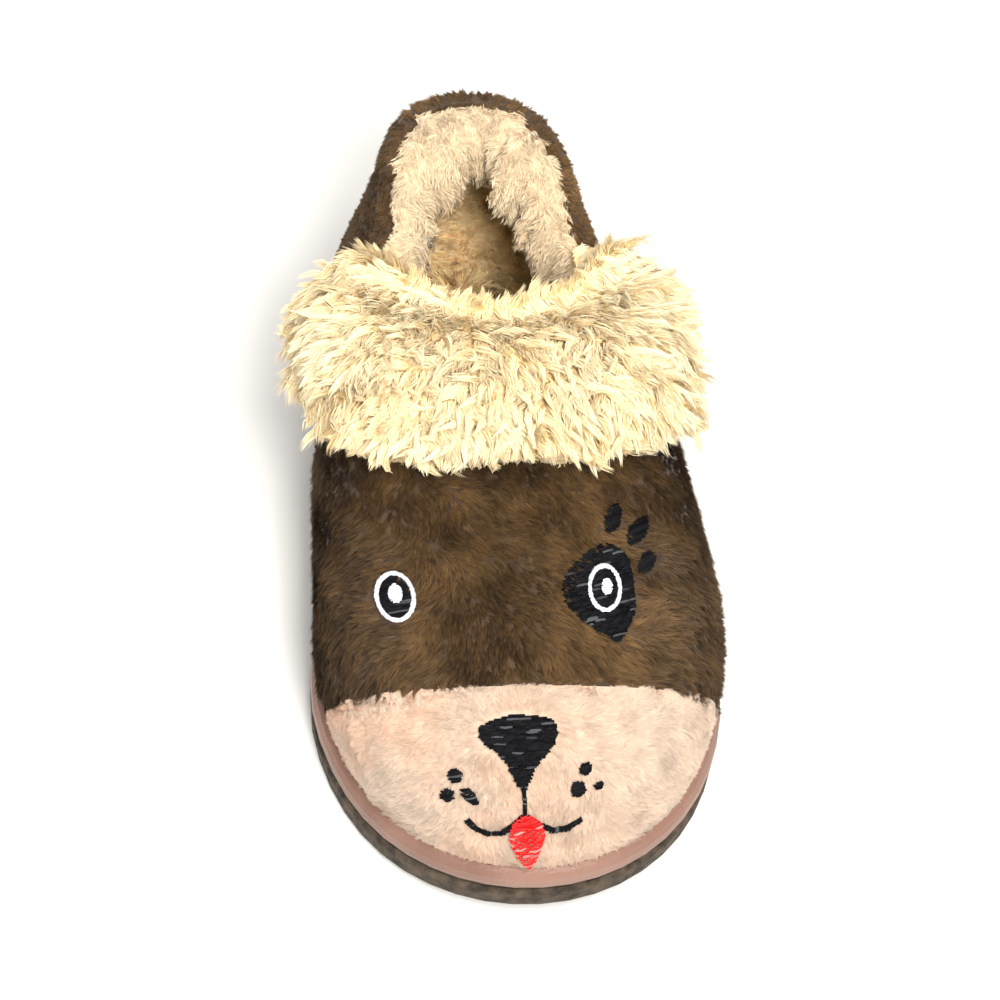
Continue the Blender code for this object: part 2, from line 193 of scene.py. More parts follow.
# %% Finish of a pile
def pile_material(name, root, tip, patch, patch_share, roughness, sheen, vary, painted_shading_place=None):
    """Hairs from a dark root to a bright tip, with patches and tufts of their own shade.

    Vary is how much lighter or darker a tuft may be. Painted shading place gives where across the
    slipper the patches are full, and how far they reach from there, both in metres; placed so,
    the patches are painted light and shade.
    """
    material, inputs = start_material(name)
    mark = add_node(material, "Attribute")
    mark.attribute_name = "pile"
    parts = add_node(material, "SeparateColor", Color=mark.outputs["Color"])
    colour = mix_colours(material, parts.outputs["Red"], (*root, 1), (*tip, 1))
    share = calculate(material, "MULTIPLY", spots(material, 55), patch_share)
    # Placed across the slipper, the patches are painted light and shade: full at one place, gone a reach
    # away.
    if painted_shading_place:
        full_at, reach = painted_shading_place
        place = add_node(material, "TexCoord").outputs["Object"]
        sideways = add_node(material, "SeparateXYZ", Vector=place).outputs["X"]
        off_by = calculate(material, "ABSOLUTE", calculate(material, "SUBTRACT", sideways, full_at))
        closeness = add_node(material, "MapRange", Value=off_by, From_Min=reach, From_Max=0.0)
        share = calculate(material, "MULTIPLY", closeness.outputs["Result"], share)
    colour = mix_colours(material, share, colour, (*patch, 1))
    shade = add_node(material, "MapRange", Value=parts.outputs["Green"], To_Min=1 - vary, To_Max=1 + vary)
    toned = add_node(material, "HueSaturation", Color=colour, Value=shade.outputs["Result"])
    give(material, inputs["Base Color"], toned.outputs["Color"])
    inputs["Roughness"].default_value = roughness
    inputs["Sheen Weight"].default_value = sheen
    inputs["Sheen Roughness"].default_value = 0.4
    inputs["Specular IOR Level"].default_value = 0.22
    return material


print("finish ready: pile")

# %% [markdown]
# ## Five piles
# The brown plush has golden light painted along its middle and painted shade at its sides,
# and its tufts vary most. The cream muzzle has a peachy shade painted on its inner cheek. The
# cuff's fur is whitest at its tips and golden deep down, the fleece round the heel is a calm
# cream, and the fleece inside is golden. Each could have a recipe of its own, but one shared
# recipe makes them look like one family of cloth.

# %% Mix the piles
# The golden patch colour, full along the middle, is painted light; the sides beyond its reach are painted
# shade.
brown_hair = pile_material(
    "brown_plush", root=(0.016, 0.008, 0.003), tip=(0.102, 0.058, 0.024), patch=(0.31, 0.178, 0.072),
    patch_share=0.90, roughness=0.55, sheen=0.03, vary=0.50, painted_shading_place=(0.0, 0.031)
)
# The peachy patch, full at the inner cheek and fading across the muzzle, is painted shade.
cream_hair = pile_material(
    "cream_plush", root=(0.56, 0.40, 0.30), tip=(0.64, 0.53, 0.43), patch=(0.76, 0.45, 0.30),
    patch_share=1.0, roughness=0.60, sheen=0.10, vary=0.22, painted_shading_place=(-0.038, 0.060)
)
fur_hair = pile_material(
    "cream_fur", root=(1.0, 0.80, 0.42), tip=(0.90, 0.83, 0.64), patch=(0.98, 0.79, 0.47),
    patch_share=0.50, roughness=0.55, sheen=0.10, vary=0.05
)
fleece_hair = pile_material(
    "cream_fleece", root=(0.70, 0.52, 0.32), tip=(0.79, 0.69, 0.51), patch=(0.77, 0.60, 0.39),
    patch_share=0.45, roughness=0.65, sheen=0.12, vary=0.14
)
gold_hair = pile_material(
    "golden_fleece", root=(1.0, 0.76, 0.38), tip=(1.0, 0.88, 0.56), patch=(1.0, 0.72, 0.34),
    patch_share=0.40, roughness=0.65, sheen=0.15, vary=0.15
)
print("piles:", ", ".join(hair.name for hair in (brown_hair, cream_hair, fur_hair, fleece_hair, gold_hair)))

# %% [markdown]
# ## Reading a skin
# Hair grows from a surface, so the surface is read once: its triangles, their sizes and a
# smooth direction out of it at each corner. Random places on it are then drawn by area, all
# in one go with arrays, because over half a million hairs are too many to place one by one.


# %% Skins, waves and combs
class Skin:
    """Triangles of a mesh in millimetres, with smooth normals, for growing hair on."""

    def __init__(self, *pieces):
        corners = []
        for piece in pieces:
            mesh = piece.data
            mesh.calc_loop_triangles()
            places = np.empty(len(mesh.vertices) * 3)
            mesh.vertices.foreach_get("co", places)
            index = np.empty(len(mesh.loop_triangles) * 3, dtype=np.int32)
            mesh.loop_triangles.foreach_get("vertices", index)
            corners.append(places.reshape(-1, 3)[index].reshape(-1, 3, 3) / MM)
        self.corners = np.concatenate(corners)
        edges = self.corners[:, 1:] - self.corners[:, :1]
        self.facing = np.cross(edges[:, 0], edges[:, 1])
        self.area = np.linalg.norm(self.facing, axis=1) / 2
        keys = np.round(self.corners.reshape(-1, 3), 2)
        _, same = np.unique(keys, axis=0, return_inverse=True)
        total = np.zeros((same.max() + 1, 3))
        np.add.at(total, same.ravel(), np.repeat(self.facing, 3, axis=0))
        self.normals = unit(total[same.ravel()]).reshape(-1, 3, 3)
        flat = self.corners.reshape(-1, 3)
        index = np.arange(len(flat)).reshape(-1, 3)
        self.tree = BVHTree.FromPolygons([Vector(p) for p in flat], index.tolist())

    def scatter(self, count, wanted, seed):
        """Random places and their normals, on the triangles that are wanted."""
        chance = np.random.default_rng(seed)
        middles = self.corners.mean(axis=1)
        weight = self.area * wanted(middles, unit(self.facing))
        picked = chance.choice(len(weight), size=count, p=weight / weight.sum())
        a, b = np.sqrt(chance.random(count)), chance.random(count)
        share = np.stack([1 - a, a * (1 - b), a * b], axis=1)[:, :, None]
        places = (self.corners[picked] * share).sum(axis=1)
        return places, unit((self.normals[picked] * share).sum(axis=1))


def unit(vectors):
    """Vectors of length one."""
    return vectors / np.maximum(np.linalg.norm(vectors, axis=-1, keepdims=True), 1e-9)


def drift(places, size, seed):
    """Smooth number, about -1 to 1, that changes over a size in millimetres."""
    chance = np.random.default_rng(seed)
    total = np.zeros(len(places))
    for _ in range(6):
        way = unit(chance.normal(size=3)) * 2 * math.pi / (size * chance.uniform(0.7, 1.5))
        total += np.sin(places @ way + chance.uniform(0, 2 * math.pi))
    return total / 2.4


def comb(ways, normals, swing):
    """Lay directions flat on the skin and turn each by an angle about its normal."""
    flat = unit(ways - (ways * normals).sum(axis=1, keepdims=True) * normals)
    side = np.cross(normals, flat)
    return flat * np.cos(swing)[:, None] + side * np.sin(swing)[:, None]


upper_skin = Skin(solids["upper"])
print("upper's skin:", len(upper_skin.area), "triangles,", round(upper_skin.area.sum() / 100), "square cm")

# %% [markdown]
# ## Hairs as strips
# A hair could be a curve with a thickness, but a flat strip needs far fewer triangles and looks
# the same at this size. All the strips of a pile are laid into one mesh from arrays.


# %% Lay a mesh from arrays
def lay_mesh(name, places, quads, triangles, marks, material):
    """Mesh object from arrays, with the pile attribute and a material."""
    mesh = bpy.data.meshes.new(name)
    mesh.vertices.add(len(places))
    mesh.vertices.foreach_set("co", (places * MM).astype(np.float32).ravel())
    loops = np.concatenate([quads.ravel(), triangles.ravel()]).astype(np.int32)
    mesh.loops.add(len(loops))
    mesh.loops.foreach_set("vertex_index", loops)
    starts = np.concatenate(
        [np.arange(len(quads)) * 4, quads.size + np.arange(len(triangles)) * 3]
    ).astype(np.int32)
    mesh.polygons.add(len(starts))
    mesh.polygons.foreach_set("loop_start", starts)
    mesh.update(calc_edges=True)
    layer = mesh.attributes.new("pile", "FLOAT_COLOR", "POINT")
    layer.data.foreach_set("color", marks.astype(np.float32).ravel())
    mesh.materials.append(material)
    piece = bpy.data.objects.new(name, mesh)
    bpy.context.scene.collection.objects.link(piece)
    return piece


print("strips can be laid")

# %% [markdown]
# ## Growing tufts
# One function grows every pile. A tuft starts from one root; its hairs start round that root
# and gather towards one tip, as damp or combed hair does. They rise first and then lean over
# the way the pile is combed.


# %% Grow tufts of hair
def grow(name, roots, normals, ways, material, hairs, spread, length, lean, width, steps=1,
         gather=0.6, wave=0.0, seed=1, sink=0.2, scale=None, turned=0.9):
    """Tufts of tapered hairs. Lengths are in millimetres and lean is from the normal.

    Gather pulls a tuft's hairs together at its tip, wave bends them sideways, sink hides their
    feet in the skin, scale is a share of the length for each tuft, and turned twists the strips.
    """
    chance = np.random.default_rng(seed)
    tufts = len(roots)
    size = (tufts, hairs)
    beside = np.cross(normals, ways)
    around = chance.uniform(0, 2 * math.pi, size)
    away = spread * np.sqrt(chance.random(size))
    off_along, off_side = away * np.cos(around), away * np.sin(around)
    tuft_scale = chance.uniform(0.8, 1.2, (tufts, 1))
    if scale is not None:
        tuft_scale = tuft_scale * scale[:, None]
    long = length * tuft_scale * chance.uniform(0.75, 1.1, size)
    tilt = lean + chance.normal(0, 0.10, (tufts, 1)) + chance.normal(0, 0.08, size)
    phase = chance.uniform(0, 2 * math.pi, (tufts, 1))
    twist = chance.uniform(-turned, turned, size)
    n, t, b = normals[:, None], ways[:, None], beside[:, None]
    broad = b * np.cos(twist)[..., None] + n * np.sin(twist)[..., None]
    levels, marks = [], []
    shade = np.clip(0.5 + 0.2 * drift(roots, 7, seed + 100)[:, None]
                    + chance.normal(0, 0.18, (tufts, 1)) + chance.normal(0, 0.10, size), 0, 1)
    for level in range(steps + 1):
        s = level / steps
        close = 1 - gather * s
        rise = long * np.cos(tilt) * math.sin(s * math.pi / 2) - sink * (1 - s)
        run = long * np.sin(tilt) * (0.45 * s + 0.55 * s * s) + off_along * close
        sway = off_side * close + long * wave * s * np.sin(phase + 3.5 * s)
        middle = roots[:, None] + n * rise[..., None] + t * run[..., None] + b * sway[..., None]
        mark = np.stack([np.full(size, s), shade, chance.random(size), np.ones(size)], axis=-1)
        if level == steps:
            levels.append(middle[..., None, :])
            marks.append(mark[..., None, :])
        else:
            half = broad * (width / 2 * (1 - 0.55 * s * s))
            levels.append(np.stack([middle - half, middle + half], axis=-2))
            marks.append(np.stack([mark, mark], axis=-2))
    places = np.concatenate(levels, axis=2).reshape(-1, 3)
    marks = np.concatenate(marks, axis=2).reshape(-1, 4)
    each = 2 * steps + 1
    first = np.arange(tufts * hairs)[:, None] * each
    quads = [first + np.array([[2 * k, 2 * k + 1, 2 * k + 3, 2 * k + 2]]) for k in range(steps - 1)]
    quads = np.concatenate(quads) if quads else np.zeros((0, 4), dtype=int)
    tips = first + np.array([[each - 3, each - 2, each - 1]])
    piece = lay_mesh(name, places, quads, tips, marks, material)
    print(name, "-", tufts, "tufts,", 2 * len(quads) + len(tips), "triangles")
    return piece


print("tufts can be grown")

# %% [markdown]
# ## Where the face lies
# The toe turns from nearly level to nearly upright, so the face is drawn on a flat sheet that
# leans back by 45 degrees and is pressed onto the toe from in front and above. On that sheet a
# place is its distance across the toe and its height up the sheet, both in millimetres.

# %% The face's sheet
SHEET_LEAN = math.radians(45)
sheet_up = Vector((0, math.cos(SHEET_LEAN), math.sin(SHEET_LEAN)))
sheet_in = Vector((0, math.sin(SHEET_LEAN), -math.cos(SHEET_LEAN)))
toe_skin = Skin(solids["upper"], solids["muzzle_panel"])


def on_toe(u, w, height=0.0):
    """Point over the toe's skin for a place on the sheet, and the skin's normal there."""
    start = Vector((u, 0, 0)) + sheet_up * w - sheet_in * 300
    place, normal, _, _ = toe_skin.tree.ray_cast(start, sheet_in)
    if normal.dot(sheet_in) > 0:
        normal = -normal
    return place + normal * height, normal


def sheet_places(places):
    """Places on the sheet of points in space."""
    up_the_sheet = places[:, 1:] @ np.array([math.cos(SHEET_LEAN), math.sin(SHEET_LEAN)])
    return np.stack([places[:, 0], up_the_sheet], axis=1)


def round_outline(corners, steps=6):
    """Smooth closed line through given corners."""
    corners = np.array(corners, dtype=float)
    line = []
    for i in range(len(corners)):
        p, q, r, s = (corners[(i + k) % len(corners)] for k in (-1, 0, 1, 2))
        for k in range(steps):
            t = k / steps
            line.append(0.5 * (2 * q + (r - p) * t + (2 * p - 5 * q + 4 * r - s) * t * t
                               + (3 * q - p - 3 * r + s) * t**3))
    return np.array(line)


def oval(u, w, half_across, half_up, lean=0.0, steps=40):
    """Closed oval line."""
    angle = np.arange(steps) * 2 * math.pi / steps
    x, y = half_across * np.cos(angle), half_up * np.sin(angle)
    return np.stack([u + x * math.cos(lean) - y * math.sin(lean),
                     w + x * math.sin(lean) + y * math.cos(lean)], axis=1)


def inside(line, places, grow_by=0.0):
    """Which places lie inside a closed line, widened by a distance."""
    middle = line.mean(axis=0)
    line = line + unit(line - middle) * grow_by
    after = np.roll(line, -1, axis=0)
    hits = np.zeros(len(places), dtype=int)
    for (x0, y0), (x1, y1) in zip(line, after):
        crosses = (y0 > places[:, 1]) != (y1 > places[:, 1])
        if y1 != y0:
            hits += crosses & (places[:, 0] < (x1 - x0) * (places[:, 1] - y0) / (y1 - y0) + x0)
    return hits % 2 == 1


# %% [markdown]
# ## The embroidered shapes
# Both eyes are white rings with a black pupil and a small white glint. The right one sits on
# the pad of a black paw print with three toes. The muzzle has a black nose, a mouth of two
# arcs, a red tongue and three small dots on each cheek. Each outline is given here.

# %% Outlines of the face
LEFT_EYE, RIGHT_EYE = (-23.0, 5.0), (12.8, 5.3)
left_ring = oval(*LEFT_EYE, 3.45, 4.15, 0.05)
left_pupil = oval(*LEFT_EYE, 2.75, 3.4, 0.05)
left_glint = oval(-22.9, 5.5, 1.15, 1.45, 0.05)
right_glint = oval(13.2, 5.5, 0.95, 1.25, -0.1)
paw_pad = round_outline([
    (14.5, 12.2), (17.3, 10.2), (18.0, 6.5), (18.0, 2.9), (17.2, 0.3), (15.0, -2.7), (13.9, -3.2),
    (11.1, -1.3), (8.4, 0.7), (6.4, 2.6), (5.5, 5.3), (6.4, 7.9), (8.3, 9.6), (10.8, 11.3), (12.7, 12.1)])
paw_toes = [oval(15.8, 16.2, 1.25, 2.4, -0.42), oval(20.1, 13.9, 1.3, 2.6, -0.75),
            oval(21.0, 8.7, 1.15, 1.9, -0.6)]
nose = round_outline([
    (-8.1, -14.5), (-4.8, -13.7), (-0.9, -14.0), (1.3, -14.7), (2.3, -16.3), (2.0, -17.9),
    (0.7, -19.7), (-1.1, -21.6), (-2.2, -23.2), (-2.9, -24.9), (-3.7, -25.9), (-4.8, -24.3), (-6.3, -21.2),
    (-8.2, -19.2), (-9.5, -18.2), (-10.4, -16.8), (-10.1, -15.4)])
tongue = round_outline([
    (-3.3, -30.2), (-1.2, -31.2), (-0.2, -33.3), (-0.6, -36.4), (-1.6, -39.3), (-2.3, -40.7),
    (-3.4, -39.7), (-5.1, -36.6), (-5.8, -34.4), (-5.6, -32.3), (-4.7, -30.9)])
mouth_left = [(-12.9, -31.2), (-11.5, -32.6), (-9.3, -33.5), (-7.1, -33.3), (-5.3, -32.0), (-3.8, -30.5)]
mouth_right = [(-3.2, -30.5), (-1.3, -31.9), (1.2, -33.2), (3.8, -32.9), (6.1, -31.6)]
stem = [(-3.7, -25.0), (-3.5, -27.8), (-3.5, -30.5)]
dots = [oval(-14.7, -23.5, 1.0, 1.15), oval(-16.0, -26.8, 1.0, 1.15), oval(-12.4, -26.9, 0.8, 1.7, 0.7),
        oval(6.9, -22.9, 0.9, 1.1), oval(5.5, -26.3, 1.15, 1.3), oval(9.1, -26.0, 0.55, 0.6)]


def ribbon_outline(line, half):
    """Closed line round a curve, at a distance from it."""
    line = np.array(line, dtype=float)
    along = np.gradient(line, axis=0)
    side = unit(np.stack([-along[:, 1], along[:, 0]], axis=1)) * half
    return np.concatenate([line + side, (line - side)[::-1]])


bare_places = [left_ring, paw_pad, nose, tongue, *paw_toes, *dots,
               ribbon_outline(mouth_left, 0.5), ribbon_outline(mouth_right, 0.5),
               ribbon_outline(stem, 0.4)]
BARE_MARGIN = 0.3


def bare(places):
    """Which points lie under the embroidery."""
    flat = sheet_places(places)
    covered = np.zeros(len(places), dtype=bool)
    for line in bare_places:
        covered |= inside(line, flat, BARE_MARGIN)
    return covered


print("embroidered shapes:", len(bare_places))

# %% [markdown]
# ## Copies of solids
# A soft piece that takes over from a solid could be modelled anew, but a copy of the solid has
# the right place and size from the start. The copy's loose triangles are merged first, because
# the tools that melt and smooth a mesh need its faces joined.


# %% Copies and packed wool
def copy_solid(name, node):
    """Copy of a CAD node with its own mesh, its loose triangles merged."""
    bpy.ops.object.select_all(action="DESELECT")
    piece = solids[node].copy()
    piece.data = solids[node].data.copy()
    piece.name = name
    piece.parent = None
    for key in list(piece.keys()):
        del piece[key]
    bpy.context.scene.collection.objects.link(piece)
    bpy.context.view_layer.objects.active = piece
    piece.select_set(True)
    bpy.ops.object.mode_set(mode="EDIT")
    bpy.ops.mesh.select_all(action="SELECT")
    bpy.ops.mesh.remove_doubles(threshold=1e-6)
    bpy.ops.object.mode_set(mode="OBJECT")
    return piece


def apply_modifier(piece, kind, **values):
    """Add a modifier to a piece and apply it."""
    modifier = piece.modifiers.new(kind.lower(), kind)
    for key, value in values.items():
        setattr(modifier, key, value)
    bpy.context.view_layer.objects.active = piece
    bpy.ops.object.modifier_apply(modifier=modifier.name)


def fleece_material(name, low, high, bump):
    """Packed wool seen between locks."""
    material, inputs = start_material(name)
    colour = mix_colours(material, spots(material, 700, 4), (*low, 1), (*high, 1))
    give(material, inputs["Base Color"], colour)
    inputs["Roughness"].default_value = 0.9
    inputs["Sheen Weight"].default_value = 0.3
    raise_bump(material, inputs, spots(material, 1200, 5), bump)
    return material


print("copies and packed wool ready")

# %% [markdown]
# ## Fur cuff
# The cuff is a strip of long fur turned down over the throat. Under its locks lies a packed
# pad. The pad comes from a copy of the cuff's solid: a voxel remesh melts its coarse locks
# together, and smoothing takes off what is left of them. It is then drawn in a little, by a
# millimetre all round, at its front edge and at its outer end, to leave room for the locks.
# The numbers for that are in millimetres, and shares of a distance.

# %% The pad under the fur
FRONT_OF, EDGE_SHARE, EDGE_LIFT = 20.0, 0.07, 0.3
OUTSIDE_OF, DROP_SHARE = 12.0, 0.11
DROP_STARTS, DROP_GROWS = 2.0, 18.0
packed_wool = fleece_material("packed_wool", (0.98, 0.74, 0.40), (1.0, 0.86, 0.58), 0.0006)
pad = copy_solid("cuff_pad", "fur_cuff")
apply_modifier(pad, "REMESH", mode="VOXEL", voxel_size=0.0012, use_smooth_shade=True)
apply_modifier(pad, "DISPLACE", strength=-0.0010, mid_level=0.0)
apply_modifier(pad, "SMOOTH", factor=0.8, iterations=22)
for vert in pad.data.vertices:
    x, y, z = vert.co / MM
    back = max(0, FRONT_OF - y) * EDGE_SHARE
    drop = max(0, x - OUTSIDE_OF) * DROP_SHARE * min(1, max(0, (y - DROP_STARTS) / DROP_GROWS))
    vert.co = Vector((x, y + back, z + EDGE_LIFT * back - drop)) * MM
pad.data.materials.clear()
pad.data.materials.append(packed_wool)
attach(pad, "root")
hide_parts("fur_cuff")
print("pad:", len(pad.data.polygons), "faces")

# %% [markdown]
# ## How the cuff's fur lies
# The fur fans out from the throat and hangs down a little. Each lock could be combed by hand,
# but pointing them all away from one place in the throat gives the same fan. Fur is short where
# the cuff thins out and beside the throat, and none grows between the cuff and the upper.


# %% Comb the cuff's fur
THROAT = np.array([0.0, 34.0, 47.0])


def fan_out(places, normals, seed, swing):
    """Directions out from the throat and down, with some stray."""
    ways = unit(places - THROAT) + np.array([0, 0, -0.32])
    turn_by = swing * drift(places, 16, seed) + 0.6 * swing * drift(places, 6, seed + 1)
    return comb(ways, normals, turn_by)


def thin_out(places, normals, gap, most):
    """Keep places that are a gap apart."""
    kept = []
    for i in range(len(places)):
        if not kept or np.min(((places[kept] - places[i]) ** 2).sum(axis=1)) > gap * gap:
            kept.append(i)
            if len(kept) == most:
                break
    return places[kept], normals[kept]


EDGE_STARTS, EDGE_REACH = 1.0, 8.0
THROAT_STARTS, THROAT_REACH = 14.0, 10.0


def shorter_at_the_edge(places):
    """Share of full length for a lock: short where the cuff thins out and by the throat."""
    above = np.array([upper_skin.tree.find_nearest(Vector(place))[3] for place in places])
    from_throat = np.linalg.norm(places[:, :2] - THROAT[:2], axis=1)
    return ((0.42 + 0.58 * np.clip((above - EDGE_STARTS) / EDGE_REACH, 0, 1))
            * (0.55 + 0.45 * np.clip((from_throat - THROAT_STARTS) / THROAT_REACH, 0, 1)))


def off_the_upper(middles, normals):
    """1 where a skin faces away from the upper close by, else 0."""
    open_air = []
    for place, normal in zip(middles, normals):
        hit = upper_skin.tree.ray_cast(Vector(place) + Vector(normal) * 0.05, Vector(normal), 2.5)
        open_air.append(0.0 if hit[0] else 1.0)
    return np.array(open_air)


pad_skin = Skin(pad)
print("pad's skin:", len(pad_skin.area), "triangles")

# %% [markdown]
# ## Locks of the cuff
# Short hair covers the pad first, and longer locks lie over it like tiles. The locks' places
# are thinned out, so that no two stand closer than a gap.

# %% Grow the cuff's fur
LOCK_GAP, MOST_LOCKS = 1.75, 1700
roots, normals = pad_skin.scatter(3300, off_the_upper, 11)
under = grow("cuff_under_fur", roots, normals, fan_out(roots, normals, 3, 0.6), fur_hair,
             hairs=16, spread=1.3, length=3.9, lean=0.95, width=0.36, steps=2, gather=0.6, wave=0.15,
             seed=12, scale=shorter_at_the_edge(roots), turned=0.5)
roots, normals = pad_skin.scatter(9000, off_the_upper, 13)
roots, normals = thin_out(roots, normals, LOCK_GAP, MOST_LOCKS)
locks = grow("cuff_locks", roots, normals, fan_out(roots, normals, 5, 0.7), fur_hair,
             hairs=22, spread=1.15, length=5.9, lean=1.05, width=0.35, steps=3, gather=0.90, wave=0.20,
             seed=14, scale=shorter_at_the_edge(roots), turned=0.5)
for piece in (under, locks):
    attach(piece, "root")

# %% [markdown]
# ## How the plush lies
# The plush runs forward over the toe and down the heel, and strays in soft swirls. At the
# muzzle's seam it is short and runs along the seam, so that the seam stays a clean line. The
# way it lies is worked out from where a root is, because combed cloth changes way smoothly.


# %% Comb the plush
HEART_REACH, HEART_HEIGHT = 42.0, 22.0


def outside(middles, normals):
    """1 on the upper's outside, 0 on its inside and underneath."""
    along = np.clip(middles[:, 1], -HEART_REACH, HEART_REACH)
    heart = np.stack([np.zeros(len(middles)), along, np.full(len(middles), HEART_HEIGHT)], axis=1)
    faces_out = ((middles - heart) * normals).sum(axis=1) > 0
    return (faces_out & (normals[:, 2] > -0.5)).astype(float)


def uncovered(places, normals, reach=2.2):
    """Which places have neither cuff nor muzzle close over them."""
    free = []
    for place, normal in zip(places, normals):
        hit = cover.ray_cast(Vector(place) + Vector(normal) * 0.02, Vector(normal), reach)
        free.append(hit[0] is None)
    return np.array(free)


SEAM_PLACES = [(-40, -19.5), (-34, -15.6), (-22.8, -11.3), (-12.5, -9.2), (-2.3, -8.3),
               (6.8, -9.2), (15.4, -11.1), (22.9, -13.3), (28.9, -16.0), (40, -21.0)]


def seam_share(places, reach=2.5):
    """0 at the muzzle's seam, 1 from a few millimetres above or below it."""
    flat = sheet_places(places)
    seam = np.interp(flat[:, 0], *zip(*SEAM_PLACES))
    return np.clip(np.abs(flat[:, 1] - seam) / reach, 0, 1)


def brown_ways(places, normals):
    """Forward over the toe, down and back at the heel, with swirls."""
    ones = np.ones(len(places))
    toe = np.stack([places[:, 0] / 34, -1.0 * ones, -0.35 * ones], axis=1)
    heel = np.stack([places[:, 0] / 40, 0.3 * ones, -1.0 * ones], axis=1)
    back = np.clip((places[:, 1] + 5) / 30, 0, 1)[:, None]
    swing = 0.75 * drift(places, 34, 21) + 0.4 * drift(places, 9, 22)
    calm = seam_share(places)[:, None]
    beside_seam = np.array([1.0, -0.05, 0.25])
    ways = (toe * calm + beside_seam * (1 - calm)) * (1 - back) + heel * back
    return comb(ways, normals, swing * (0.25 + 0.75 * calm[:, 0]))


cover = Skin(pad, solids["muzzle_panel"]).tree
print("seam of the muzzle:", len(SEAM_PLACES), "places on the sheet")

# %% [markdown]
# ## Brown plush
# Its hairs lie nearly flat, two or three millimetres long in front and shorter round the heel.
# None grow close under the cuff, under the muzzle or where the face is embroidered, so the
# stitches stay clean. The pile is made in two pieces, front and back, to keep each piece light.

# %% Grow the brown pile
FRONT_ENDS = 8
roots, normals = upper_skin.scatter(32000, outside, 23)
free = uncovered(roots, normals) & ~bare(roots)
roots, normals = roots[free], normals[free]
front = roots[:, 1] < FRONT_ENDS
halves = (("brown_pile_front", front, 24, 2.5, 1.22), ("brown_pile_back", ~front, 25, 1.6, 1.30))
for name, part, seed, length, lean in halves:
    r, n = roots[part], normals[part]
    piece = grow(name, r, n, brown_ways(r, n), brown_hair, hairs=14, spread=0.75, length=length,
                 lean=lean, width=0.22, gather=0.8, seed=seed, scale=0.35 + 0.65 * seam_share(r))
    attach(piece, "root")

# %% [markdown]
# ## Cream muzzle
# The muzzle's pile is finer, shorter and paler. It runs away from the nose to all sides, and
# along the seam beside it.

# %% Grow the cream pile
NOSE_BRIDGE = np.array([-3.5, -57.0, 36.0])
muzzle_skin = Skin(solids["muzzle_panel"])
roots, normals = muzzle_skin.scatter(11000, outside, 31)
free = ~bare(roots)
roots, normals = roots[free], normals[free]
ways = unit(roots - NOSE_BRIDGE) + np.array([0, 0, -0.3])
calm = seam_share(roots)[:, None]
ways = ways * calm + np.array([1.0, 0.0, -0.2]) * (1 - calm)
ways = comb(ways, normals, 0.5 * drift(roots, 22, 32) + 0.3 * drift(roots, 6, 33))
piece = grow("muzzle_pile", roots, normals, ways, cream_hair, hairs=13, spread=0.6, length=1.6,
             lean=1.30, width=0.19, gather=0.6, seed=34, scale=0.35 + 0.65 * calm[:, 0], turned=0.5)
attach(piece, "root")

# %% [markdown]
# ## Cloth under the pile
# Between the hairs the backing shows. It is the same colour as the roots, with fine fuzz. The
# upper is one wall with plush outside and golden fleece inside, so its finish looks at which
# way a face points: away from the heart of the shoe it is brown, and towards it golden.


# %% Backing cloth
def backing_material(name, low, high):
    """Knitted backing that shows between the hairs."""
    material, inputs = start_material(name)
    colour = mix_colours(material, spots(material, 260, 4), (*low, 1), (*high, 1))
    give(material, inputs["Base Color"], colour)
    inputs["Roughness"].default_value = 0.9
    inputs["Sheen Weight"].default_value = 0.2
    raise_bump(material, inputs, spots(material, 1500, 3), 0.0003)
    return material


def line_with_gold(material):
    """Golden fleece on the faces of the upper that look towards the foot."""
    inputs = material.node_tree.nodes["Principled BSDF"].inputs
    cloth = inputs["Base Color"].links[0].from_socket
    place = add_node(material, "TexCoord").outputs["Object"]
    along = add_node(material, "SeparateXYZ", Vector=place).outputs["Y"]
    near = add_node(material, "Clamp", Value=along, Min=-HEART_REACH * MM, Max=HEART_REACH * MM)
    heart = add_node(material, "CombineXYZ", Y=near.outputs["Result"], Z=HEART_HEIGHT * MM)
    away = calculate(material, "SUBTRACT", place, heart.outputs["Vector"], "VectorMath", "Vector")
    normal = add_node(material, "NewGeometry").outputs["Normal"]
    facing = calculate(material, "DOT_PRODUCT", away, normal, "VectorMath")
    within = calculate(material, "LESS_THAN", facing, 0.0)
    gold = mix_colours(material, spots(material, 700, 4), (0.95, 0.66, 0.32, 1), (1.0, 0.84, 0.54, 1))
    give(material, inputs["Base Color"], mix_colours(material, within, cloth, gold))


def dress(node, material):
    """Give a CAD node its material."""
    solids[node].data.materials.clear()
    solids[node].data.materials.append(material)


brown_backing = backing_material("brown_backing", (0.036, 0.018, 0.007), (0.085, 0.046, 0.018))
line_with_gold(brown_backing)
dress("upper", brown_backing)
dress("muzzle_panel", backing_material("cream_backing", (0.56, 0.41, 0.30), (0.64, 0.51, 0.40)))
print("backing: upper and muzzle_panel")

# %% [markdown]
# ## Embroidery
# The face is sewn by machine. It could be drawn as a bump on a flat patch, but real thread
# stands above the pile and hides it. So each stitch is a thin raised thread that dips at both
# ends, and its round back catches the light.

# %% One stitch
thread_places, thread_quads, thread_marks = {}, {}, {}
thread_chance = np.random.default_rng(41)
GLINT_CHANCE, THREAD_BULGE = 0.09, 0.16


